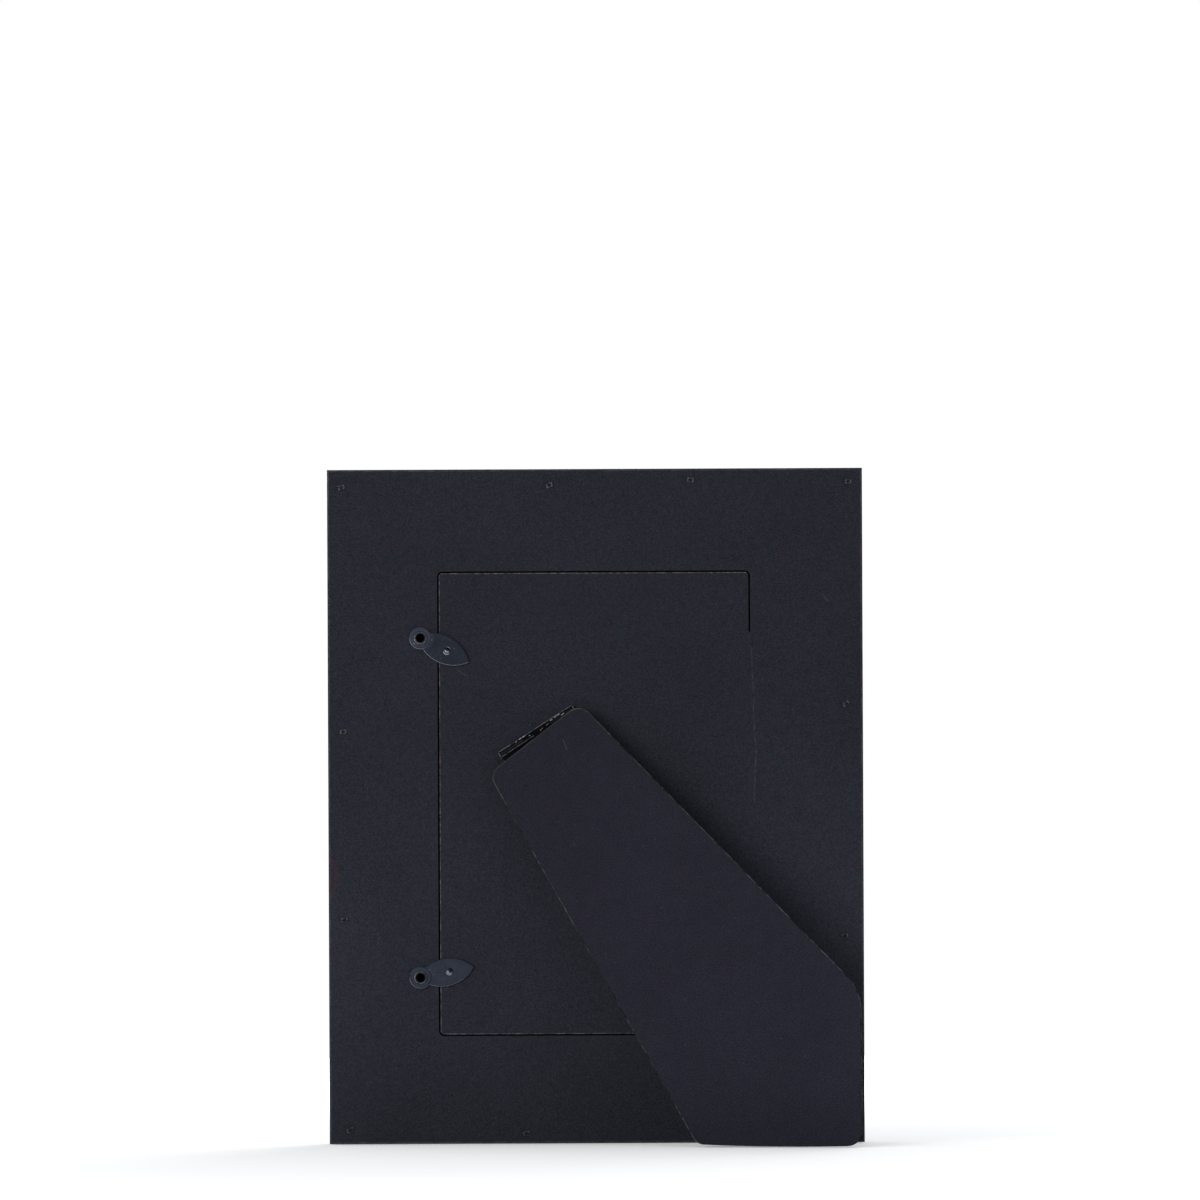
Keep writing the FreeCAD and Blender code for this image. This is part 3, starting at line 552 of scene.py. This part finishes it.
def leg_paper():
    """The slightly warmer black paper on both sides of the leg."""
    material, tree = new_material("leg_paper")
    vector = placed(tree, LEG)
    colour, lint, height = paper_base(tree, vector, LEG_WARM, LEG_COOL)
    # Painted light and shade along the leg
    colour = shade(tree, colour, leg_painted_light(tree))
    scratch = calc(tree, "MULTIPLY", stroke(tree, vector, *SCRATCH_ON_LEG), LEG_SCRATCH_STRENGTH)
    dent = stroke(tree, vector, *DENT_ON_LEG)
    # Painted shade: the dent is darkened
    colour = shade(tree, colour, ramp(tree, dent, 0, 1, 1, 0.4))
    colour = blend_colours(tree, either(tree, scratch, lint), colour, PULP_AND_EDGE_HIGHLIGHT)
    height = calc(tree, "SUBTRACT", height, dent)
    roughness = ramp(tree, noise(tree, vector, 3.0, 3.0), 0.3, 0.7, 0.82, 0.94)
    finish_material(tree, colour, roughness, height, 0.35, Specular_IOR_Level=0.08)
    return material


def board_edge(name, matrix, outward, rubbed_end):
    """Fibre board blackened at its edges, with the black rubbed off in patches and up to one place."""
    material, tree = new_material(name)
    vector = placed(tree, matrix)
    layers = ramp(tree, noise(tree, stretched(tree, vector, 0, (1, 1, 4)), 0.6, 4.0, 0.7), 0.3, 0.7)
    fibre = blend_colours(tree, layers, BOARD_DARK, BOARD_LIGHT)
    patches = ramp(tree, noise(tree, vector, 3.0, 4.0, 0.7), 0.36, 0.72)
    long_rub = ramp(tree, noise(tree, vector, 17.0, 2.0), 0.36, 0.6, 0.25, 1.0)
    _, along_board, _ = parts_of(tree, vector)
    at_end = ramp(tree, along_board, rubbed_end, rubbed_end - 3, 0, 0.55)
    at_end = calc(tree, "MULTIPLY", at_end, ramp(tree, patches, 0, 1, 0.5, 1.0))
    outer = ramp(tree, facing(tree, outward), 0.3, 0.9, 0.25, 1.0)
    rubbed_and_highlight = either(tree, calc(tree, "MULTIPLY", patches, long_rub), at_end)
    rubbed_and_highlight = calc(tree, "MULTIPLY", rubbed_and_highlight, outer)
    colour = blend_colours(tree, rubbed_and_highlight, fibre, BOARD_RUBBED)
    height = noise(tree, vector, 0.5, 4.0, 0.7)
    roughness = ramp(tree, rubbed_and_highlight, 0, 1, 0.8, 0.95)
    finish_material(tree, colour, roughness, height, 0.4, Specular_IOR_Level=0.05)
    return material


def packing_board():
    """Black card inside the frame, with a fibrous fleck."""
    material, tree = new_material("packing_board")
    vector = placed(tree, PANEL)
    flecks = ramp(tree, noise(tree, stretched(tree, vector, 20, (1, 0.35, 1)), 0.9, 4.0, 0.7), 0.3, 0.7)
    colour = blend_colours(tree, flecks, CARD_LIGHT, CARD_DARK)
    height = noise(tree, vector, 0.7, 4.0, 0.7)
    roughness = ramp(tree, flecks, 0, 1, 0.82, 0.95)
    finish_material(tree, colour, roughness, height, 0.3, Specular_IOR_Level=0.04)
    return material


# Metal

def dimple_masks(tree, vector, dimple):
    """Where a button's dimple has a painted highlight, on its side towards the light, and where it has
    painted shade: in its middle and on its far side.
    """
    from_dimple = flat_distance(tree, vector, dimple)
    lit = facing(tree, PAINTED_LIGHT_WAY)
    on_dimple = ramp(tree, from_dimple, 0.8 * DIMPLE_RADIUS, 0.65 * DIMPLE_RADIUS)
    dimple_highlight = calc(tree, "MULTIPLY", on_dimple, ramp(tree, lit, -0.12, 0.1))
    middle = ramp(tree, flat_distance(tree, vector, dimple + Vector((0.2, 0.15))), 0.45, 0.3)
    within = ramp(tree, from_dimple, DIMPLE_RADIUS, 0.8 * DIMPLE_RADIUS)
    far_side = calc(tree, "MULTIPLY", within, ramp(tree, lit, -0.1, -0.3))
    return dimple_highlight, either(tree, middle, far_side)


def rust_arc(tree, vector, pivot, from_pivot):
    """Rust along the upper right of a button's ring."""
    rim = ramp(tree, from_pivot, RING_RADIUS - 0.4, RING_RADIUS - 0.2)
    near = calc(tree, "LESS_THAN", from_pivot, RING_RADIUS + 0.05)
    u, v, _ = parts_of(tree, vector)
    across = calc(tree, "SUBTRACT", u, pivot.x)
    above = calc(tree, "SUBTRACT", v, pivot.y)
    upper = ramp(tree, above, 0.3 * RING_RADIUS, 0.5 * RING_RADIUS)
    right = ramp(tree, across, -0.3 * RING_RADIUS, 0.3 * RING_RADIUS)
    eaten = ramp(tree, noise(tree, vector, 0.8, 3.0), 0.32, 0.55, 0.4, 1.0)
    return times(tree, rim, near, upper, right, eaten)


def button_metal(name, pivot, blade_middle, dark, light, ring_painted_light, dimple_highlight_share, rusty):
    """Blue-black lacquered sheet, perhaps with rust: painted shade on its bevels and in its dimple,
    painted highlights on its lower bevels and its dimple's lit side, and its ring painted lighter as
    painted light.
    """
    material, tree = new_material(name)
    vector = placed(tree, PANEL)
    cloud = ramp(tree, noise(tree, vector, 5.0, 3.0, 0.6), 0.3, 0.7)
    colour = blend_colours(tree, cloud, dark, light)
    hairlines = ramp(tree, noise(tree, stretched(tree, vector, 33, (1, 0.05, 1)), 0.4, 3.0), 0.62, 0.8)
    colour = blend_colours(tree, calc(tree, "MULTIPLY", hairlines, 0.12), colour, LACQUER_HAIRLINE)
    chips = specks(tree, vector, 1.5, radius=0.16, share=0.16, seed=7.0)
    colour = blend_colours(tree, calc(tree, "MULTIPLY", chips, 0.35), colour, LACQUER_CHIP)
    bevel = ramp(tree, facing(tree, PANEL_OUT), 0.97, 0.85)
    from_pivot = flat_distance(tree, vector, pivot)
    outermost = ramp(tree, from_pivot, RING_RADIUS - 0.3, RING_RADIUS - 0.2)
    # Painted highlight on the outer bevels that face the light
    rubbed_and_highlight = times(tree, bevel, ramp(tree, facing(tree, PAINTED_LIGHT_WAY), 0.1, 0.45), outermost)
    dimple = pivot.to_2d() + DIMPLE_PLACE * (blade_middle - pivot.to_2d()).normalized()
    dimple_highlight, dimple_shade = dimple_masks(tree, vector, dimple)
    # Painted shade on the bevels
    colour = blend_colours(tree, calc(tree, "MULTIPLY", bevel, 0.75), colour, BEVEL_SHADE)
    # The ring painted lighter than the blade, as painted light on its raised boss
    ring_light = ramp(tree, from_pivot, RING_RADIUS + 1.5, RING_RADIUS - 1.0, 1.0, ring_painted_light)
    colour = shade(tree, colour, ring_light)
    bright = ramp(tree, from_pivot, RING_RADIUS, RING_RADIUS + 0.8, 0.5, 0.8)
    rubbed_and_highlight = calc(tree, "MULTIPLY", rubbed_and_highlight, bright)
    dimple_highlight = calc(tree, "MULTIPLY", dimple_highlight, dimple_highlight_share)
    colour = blend_colours(tree, either(tree, rubbed_and_highlight, dimple_highlight), colour, HIGHLIGHT_STEEL)
    # Painted shade in the dimple's middle and on its far side
    colour = blend_colours(tree, dimple_shade, colour, SHADE_BLACK)
    roughness = ramp(tree, noise(tree, vector, 2.5, 4.0, 0.6), 0.3, 0.7, 0.36, 0.55)
    if rusty:
        rust = rust_arc(tree, vector, pivot, from_pivot)
        colour = blend_colours(tree, rust, colour, RUST)
        roughness = blend_roughness(tree, rust, roughness, 0.9)
    height = noise(tree, vector, 1.2, 3.0, 0.6)
    finish_material(tree, colour, roughness, height, 0.05, Metallic=0.5, Specular_IOR_Level=0.1)
    return material


def blend_roughness(tree, factor, first, second):
    """The first value where the factor is zero, and the second where it is one."""
    made = add(tree, "ShaderNodeMix", data_type="FLOAT")
    plug(tree, factor, made.inputs[0])
    plug(tree, first, made.inputs[2])
    plug(tree, second, made.inputs[3])
    return made.outputs[0]


def eyelet_metal():
    """Rolled rims, lacquered like the buttons, with a painted highlight along their crests, more on the
    side towards the light, and painted shade down their bores.
    """
    material, tree = new_material("eyelet_metal")
    vector = placed(tree, PANEL)
    from_pivot = nearest(tree, vector, (UPPER_PIVOT, LOWER_PIVOT))
    from_crest = calc(tree, "ABSOLUTE", calc(tree, "SUBTRACT", from_pivot, EYELET_CREST))
    crest = ramp(tree, from_crest, 0.05, 0.24, 1, 0)
    ragged = ramp(tree, noise(tree, vector, 0.9, 4.0, 0.65), 0.38, 0.62, 0.1, 0.9)
    lit = ramp(tree, facing(tree, PAINTED_LIGHT_WAY), -0.4, 0.4, 0.3, 0.9)
    # Painted highlight along the crests, more on the side towards the light
    worn_and_highlight = times(tree, crest, ragged, lit)
    # Painted shade in the bores
    outside = ramp(tree, from_pivot, EYELET_BORE, EYELET_BORE + 0.3)
    colour = blend_colours(tree, outside, SHADE_BLACK, EYELET_LACQUER)
    colour = blend_colours(tree, worn_and_highlight, colour, HIGHLIGHT_STEEL)
    roughness = ramp(tree, worn_and_highlight, 0, 1, 0.4, 0.45)
    height = noise(tree, vector, 0.5, 3.0)
    finish_material(tree, colour, roughness, height, 0.1, Metallic=0.6, Specular_IOR_Level=0.1)
    return material


def hinge_metal(name, shine):
    """Glossy black enamel with painted highlights in streaks, along its outline and at its ends, and
    brown fluff.
    """
    material, tree = new_material(name)
    vector = placed(tree, HINGE)
    along, down, _ = parts_of(tree, vector)
    from_top = vector_calc(tree, "SUBTRACT", vector, (0, KNUCKLE_TOP, 0))
    patches = noise(tree, stretched(tree, vector, 0, (0.4, 1, 1)), 1.1, 3.0)
    uneven = ramp(tree, patches, 0.36, 0.66, 0.08, 0.5)
    upper_highlight = ramp(tree, calc(tree, "SUBTRACT", down, KNUCKLE_TOP), 0.12, 0.24, 1, 0)
    line_highlights = times(tree, either(tree, upper_highlight, stroke(tree, from_top, *HINGE_LOWER_HIGHLIGHT)), uneven)
    end_highlights = ramp(tree, calc(tree, "ABSOLUTE", along), HINGE_END - 0.3, HINGE_END - 0.15, 0.0, 0.3)
    broken = ramp(tree, noise(tree, vector, 0.7, 3.0), 0.36, 0.56, 0.2, 1.0)
    streaks = either(tree, *[stroke(tree, from_top, *place) for place in HINGE_HIGHLIGHT_STREAKS])
    # Painted highlights: the enamel's outline, ends and streaks
    hinge_highlight = either(tree, line_highlights, end_highlights, calc(tree, "MULTIPLY", streaks, broken))
    colour = blend_colours(tree, hinge_highlight, ENAMEL_BLACK, HIGHLIGHT_STEEL)
    fluff = either(tree, *[stroke(tree, from_top, *place) for place in HINGE_FLUFF])
    colour = blend_colours(tree, calc(tree, "MULTIPLY", fluff, broken), colour, FLUFF_BROWN)
    roughness = blend_roughness(tree, hinge_highlight, 0.18, 0.45)
    height = noise(tree, vector, 1.6, 3.0)
    finish_material(tree, colour, roughness, height, 0.02, Specular_IOR_Level=shine)
    return material


def brad_metal():
    """Blackened nail heads, with a painted highlight round their edges, broken in patches."""
    material, tree = new_material("brad_metal")
    vector = placed(tree, PANEL)
    patches = ramp(tree, noise(tree, vector, 0.7, 3.0), 0.35, 0.6)
    colour = blend_colours(tree, patches, BRAD_DARK, BRAD_LIGHT)
    from_middle = nearest(tree, vector, BRAD_PLACES)
    edge = calc(tree, "MULTIPLY", ramp(tree, from_middle, 0.55, 0.8), ramp(tree, patches, 0, 1, 0.1, 1.0))
    # Painted highlight round each head, broken in patches
    colour = blend_colours(tree, edge, colour, BRAD_RIM_HIGHLIGHT)
    roughness = ramp(tree, patches, 0, 1, 0.6, 0.45)
    finish_material(tree, colour, roughness, patches, 0.1, Metallic=0.3, Specular_IOR_Level=0.05)
    return material


def steel(name, dark, bright, wear_size):
    """Plain steel, dull and bright in patches of a given size."""
    material, tree = new_material(name)
    vector = placed(tree, PANEL)
    worn_and_highlight = ramp(tree, noise(tree, vector, wear_size, 3.0, 0.6), 0.4, 0.62)
    colour = blend_colours(tree, worn_and_highlight, dark, bright)
    roughness = ramp(tree, worn_and_highlight, 0, 1, 0.55, 0.35)
    finish_material(tree, colour, roughness, noise(tree, vector, 0.6, 3.0), 0.1, Metallic=0.9)
    return material


# Wood, glass and paper of the front

def edge_facings(tree):
    """How squarely the surface faces sideways, and how squarely it faces up or down."""
    sideways = calc(tree, "ABSOLUTE", facing(tree, (1, 0, 0)))
    upright = calc(tree, "ABSOLUTE", facing(tree, PANEL_UP))
    return sideways, upright


def rail_wood(name, degrees):
    """Dark stained wood with its grain along the rail, under a satin lacquer."""
    material, tree = new_material(name)
    vector = placed(tree, PANEL)
    rings = noise(tree, stretched(tree, vector, degrees, (0.035, 1, 1)), 5.5, 4.0, 0.6, 0.6)
    streaks = noise(tree, stretched(tree, vector, degrees, (0.02, 1, 1)), 0.8, 3.0, 0.65)
    pores = ramp(tree, noise(tree, stretched(tree, vector, degrees, (0.06, 1, 1)), 0.28, 2.0), 0.60, 0.72)
    figure = calc(tree, "ADD", calc(tree, "MULTIPLY", rings, 0.65), calc(tree, "MULTIPLY", streaks, 0.35))
    light_bands = ramp(tree, figure, 0.34, 0.64)
    colour = blend_colours(tree, light_bands, WOOD_DARK, WOOD_LIGHT)
    colour = shade(tree, colour, ramp(tree, pores, 0, 1, 1, 0.45))
    pits = calc(tree, "MULTIPLY", pores, 0.5)
    height = calc(tree, "SUBTRACT", calc(tree, "MULTIPLY", streaks, 0.3), pits)
    # The faces towards the back are darkened as painted shade, and made dull and unlacquered
    sawn_back_painted_shade = ramp(tree, facing(tree, PANEL_OUT), 0.9, 0.98)
    colour = shade(tree, colour, ramp(tree, sawn_back_painted_shade, 0, 1, 1, 0.2))
    outer_edge = ramp(tree, calc(tree, "MAXIMUM", *edge_facings(tree)), 0.8, 0.95)
    dull = either(tree, sawn_back_painted_shade, outer_edge)
    roughness = blend_roughness(tree, dull, ramp(tree, figure, 0.3, 0.7, 0.42, 0.30), 0.95)
    shine = ramp(tree, dull, 0, 1, 0.22, 0.03)
    lacquer = ramp(tree, dull, 0, 1, 0.06, 0.0)
    finish_material(
        tree, colour, roughness, height, 0.10,
        Coat_Weight=lacquer, Coat_Roughness=0.2, Specular_IOR_Level=shine,
    )
    return material


def pane_glass():
    """Clear glass with faint smears."""
    material, tree = new_material("pane_glass")
    vector = placed(tree, PANEL)
    smear = ramp(tree, noise(tree, vector, 24.0, 3.0), 0.4, 0.75, 0.0, 0.05)
    finish_material(tree, GLASS_TINT, smear, Transmission_Weight=1.0, IOR=1.5, Specular_IOR_Level=0.2)
    return material


def bare_paper():
    """White paper with a fine tooth."""
    material, tree = new_material("bare_insert")
    vector = placed(tree, PANEL)
    tooth = ramp(tree, noise(tree, vector, 0.5, 4.0, 0.7), 0.3, 0.7)
    cloud = ramp(tree, noise(tree, vector, 35.0, 2.0), 0.3, 0.7)
    colour = blend_colours(tree, tooth, INSERT_DARK, INSERT_LIGHT)
    colour = shade(tree, colour, ramp(tree, cloud, 0, 1, 0.96, 1.0))
    finish_material(tree, colour, ramp(tree, tooth, 0, 1, 0.75, 0.9), tooth, 0.02, Specular_IOR_Level=0.3)
    return material


def dress(material, *names):
    """Gives a material to CAD pieces."""
    for name in names:
        for slot in nodes[name].material_slots:
            slot.material = material


dress(panel_paper(), "facing_sheet")
dress(leg_paper(), "leg_facing_sheet", "leg_lining_sheet")
dress(board_edge("board_edge", PANEL, PANEL_OUT, PANEL_RUBBED_END), "backing_board", "hatch_board")
dress(board_edge("leg_board_edge", LEG, LEG_OUT, LEG_RUBBED_END), "leg_board")
dress(packing_board(), "packing_card")
dress(button_metal(
    "upper_button_lacquer", UPPER_PIVOT, middle_of("upper_turn_button", PANEL),
    UPPER_LACQUER_DARK, UPPER_LACQUER_LIGHT, ring_painted_light=2.1, dimple_highlight_share=1.0, rusty=True,
), "upper_turn_button")
dress(button_metal(
    "lower_button_lacquer", LOWER_PIVOT, middle_of("lower_turn_button", PANEL),
    LOWER_LACQUER_DARK, LOWER_LACQUER_LIGHT, ring_painted_light=1.2, dimple_highlight_share=0.55, rusty=False,
), "lower_turn_button")
dress(eyelet_metal(), "turn_button_eyelets")
dress(hinge_metal("hatch_plate_enamel", 0.03), "hatch_hinge_plate", "hinge_pin")
dress(hinge_metal("leg_plate_enamel", 0.0), "leg_hinge_plate")
dress(steel("rivet_steel", RIVET_DULL, RIVET_BRIGHT, 1.4), "hatch_rivets", "leg_rivets")
dress(steel("nail_steel", NAIL_DULL, NAIL_BRIGHT, 0.8), "corner_v_nails")
dress(brad_metal(), "backing_brads")
dress(rail_wood("level_rail_wood", 0), "top_rail", "bottom_rail")
dress(rail_wood("upright_rail_wood", 90), "left_rail", "right_rail")
dress(pane_glass(), "glass_pane")
dress(bare_paper(), "paper_insert")


# Floor, light and camera

def add_floor():
    """A white floor that takes a soft shadow near the object and glows plain white farther out."""
    bpy.ops.object.select_all(action="DESELECT")
    bpy.ops.mesh.primitive_plane_add(size=FLOOR_SIZE, location=(0, 0, -FLOOR_DROP))
    floor = bpy.context.active_object
    floor.name = "studio_floor"
    material, tree = new_material("floor_white")
    vector = placed(tree, Matrix.Scale(1 / MM, 4))
    cloud = ramp(tree, noise(tree, vector, 300.0, 2.0), 0.3, 0.7, 0.985, 1.0)
    surface = add(tree, "ShaderNodeBsdfDiffuse", (shade(tree, FLOOR_COLOUR, cloud),)).outputs[0]
    path = add(tree, "ShaderNodeLightPath").outputs
    _, to_front, _ = parts_of(tree, vector)
    reflected = either(tree, path["Is Glossy Ray"], path["Is Transmission Ray"])
    reflected_behind = calc(tree, "MULTIPLY", reflected, calc(tree, "LESS_THAN", to_front, 0))
    seen = either(tree, path["Is Camera Ray"], reflected_behind)
    from_object = vector_calc(tree, "LENGTH", vector, result=1)
    far = ramp(tree, from_object, FLOOR_NEAR, FLOOR_FAR, FLOOR_GLOW_NEAR, 1.0)
    glow = add(tree, "ShaderNodeEmission", ((1, 1, 1, 1), calc(tree, "MULTIPLY", seen, far))).outputs[0]
    both = add(tree, "ShaderNodeAddShader", (surface, glow)).outputs[0]
    tree.links.new(both, tree.nodes.new("ShaderNodeOutputMaterial").inputs["Surface"])
    floor.data.materials.append(material)


def add_softbox(name, place, size, power):
    """A square area light aimed at the object."""
    light = bpy.data.lights.new(name, "AREA")
    light.shape = "SQUARE"
    light.size = size
    light.energy = power
    holder = bpy.data.objects.new(name, light)
    bpy.context.scene.collection.objects.link(holder)
    aim = (Vector(LIGHT_TARGET) - Vector(place)).to_track_quat("-Z", "Y")
    holder.matrix_world = Matrix.Translation(place) @ aim.to_matrix().to_4x4()


def add_world():
    """White where the camera looks past the object, and a softer light elsewhere."""
    world = bpy.data.worlds.new("studio")
    world.use_nodes = True
    tree = world.node_tree
    tree.nodes.clear()
    path = add(tree, "ShaderNodeLightPath").outputs
    seen = either(tree, path["Is Camera Ray"], path["Is Glossy Ray"], path["Is Transmission Ray"])
    light = add(tree, "ShaderNodeBackground", (AMBIENT_COLOUR, AMBIENT_STRENGTH)).outputs[0]
    white = add(tree, "ShaderNodeBackground", ((1, 1, 1, 1), 1.0)).outputs[0]
    mixed = add(tree, "ShaderNodeMixShader", (seen, light, white)).outputs[0]
    tree.links.new(mixed, tree.nodes.new("ShaderNodeOutputWorld").inputs["Surface"])
    bpy.context.scene.world = world


def add_camera():
    """A camera square on to the back panel, a little to the right of its middle."""
    to_row = PANEL.inverted()
    place = to_row @ Vector((CAMERA_RIGHT, CAMERA_UP, CAMERA_DISTANCE))
    looking = to_row.to_3x3().normalized()
    camera = bpy.data.cameras.new("photo_camera")
    camera.lens = CAMERA_LENS
    camera.sensor_width = CAMERA_SENSOR
    camera.clip_start = 0.01
    camera.clip_end = 50.0
    holder = bpy.data.objects.new("photo_camera", camera)
    bpy.context.scene.collection.objects.link(holder)
    roll = Matrix.Rotation(math.radians(-CAMERA_ROLL), 4, "Z")
    holder.matrix_world = Matrix.Translation(place) @ looking.to_4x4() @ roll
    bpy.context.scene.camera = holder


add_floor()
add_world()
add_softbox("key", KEY_PLACE, KEY_SIZE, KEY_POWER)
add_softbox("front_fill", FILL_PLACE, FILL_SIZE, FILL_POWER)
add_camera()
bpy.context.scene.view_settings.view_transform = "Standard"
